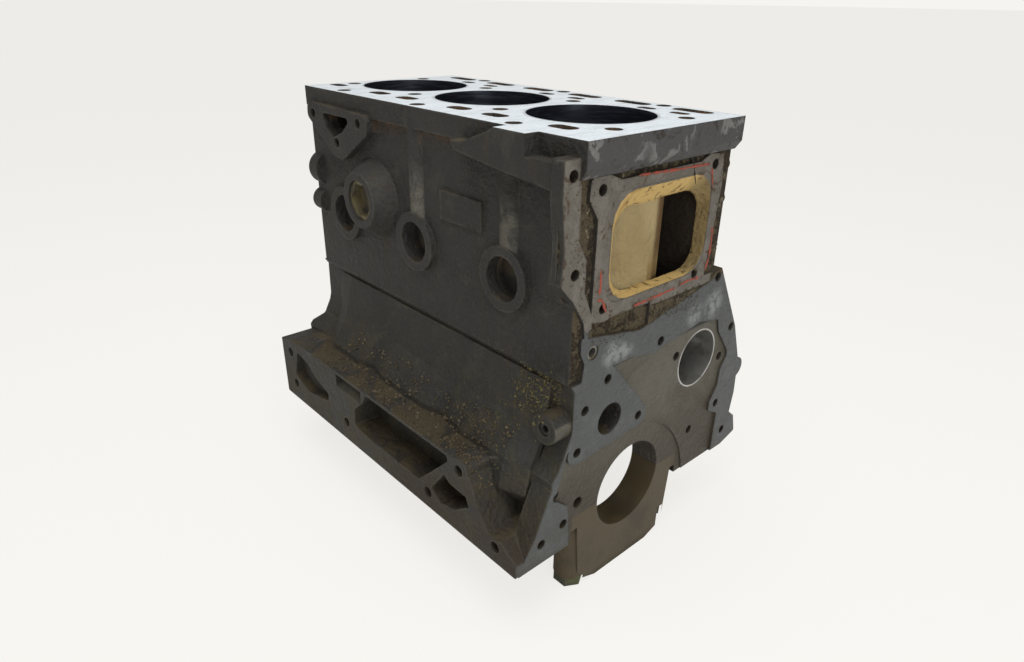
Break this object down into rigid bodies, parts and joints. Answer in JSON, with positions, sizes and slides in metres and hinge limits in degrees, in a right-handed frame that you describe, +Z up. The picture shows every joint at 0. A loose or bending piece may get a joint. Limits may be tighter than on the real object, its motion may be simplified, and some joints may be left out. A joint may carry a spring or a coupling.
{
  "type": "engine block",
  "caption": "Stripped in-line diesel cylinder block with dry liners, main bearing caps, camshaft bushes and core plugs in place.",
  "frame": {"origin": "on the crankshaft axis at the plane of the timing face; the mouth of the front main bearing lies 3 mm behind it", "axes": "+X along the crankshaft out of the timing face, +Z up to the cylinder head face, +Y towards the camshaft side"},
  "size_m": [0.4056, 0.3174, 0.405],
  "materials": {
    "block_casting": "greasy cast skin, machined faces bare",
    "cap_casting": "machined, oily",
    "bolt_steel": "dark oily steel",
    "dowel_steel": "ground",
    "liner_iron": "honed",
    "bush_metal": "bored",
    "plug_steel": "pressed, dirty",
    "port_plug_steel": "dirty"
  },
  "bodies": {
    "root": {"cylinder_block": "block_casting", "main_bearing_cap_front": "cap_casting", "main_bearing_cap_second": "cap_casting", "main_bearing_cap_third": "cap_casting", "main_bearing_cap_rear": "cap_casting", "cap_bolts_front": "bolt_steel", "cap_bolts_second": "bolt_steel", "cap_bolts_third": "bolt_steel", "cap_bolts_rear": "bolt_steel", "cap_thimbles": "dowel_steel", "cylinder_liner_1": "liner_iron", "cylinder_liner_2": "liner_iron", "cylinder_liner_3": "liner_iron", "camshaft_bush_1": "bush_metal", "camshaft_bush_2": "bush_metal", "camshaft_bush_3": "bush_metal", "camshaft_bush_4": "bush_metal", "camshaft_rear_plug": "plug_steel", "core_plug_1": "plug_steel", "core_plug_2": "plug_steel", "core_plug_3": "plug_steel", "port_plug": "port_plug_steel", "oil_gallery_plug": "bolt_steel", "timing_cover_dowel": "dowel_steel"}
  },
  "joints": []
}
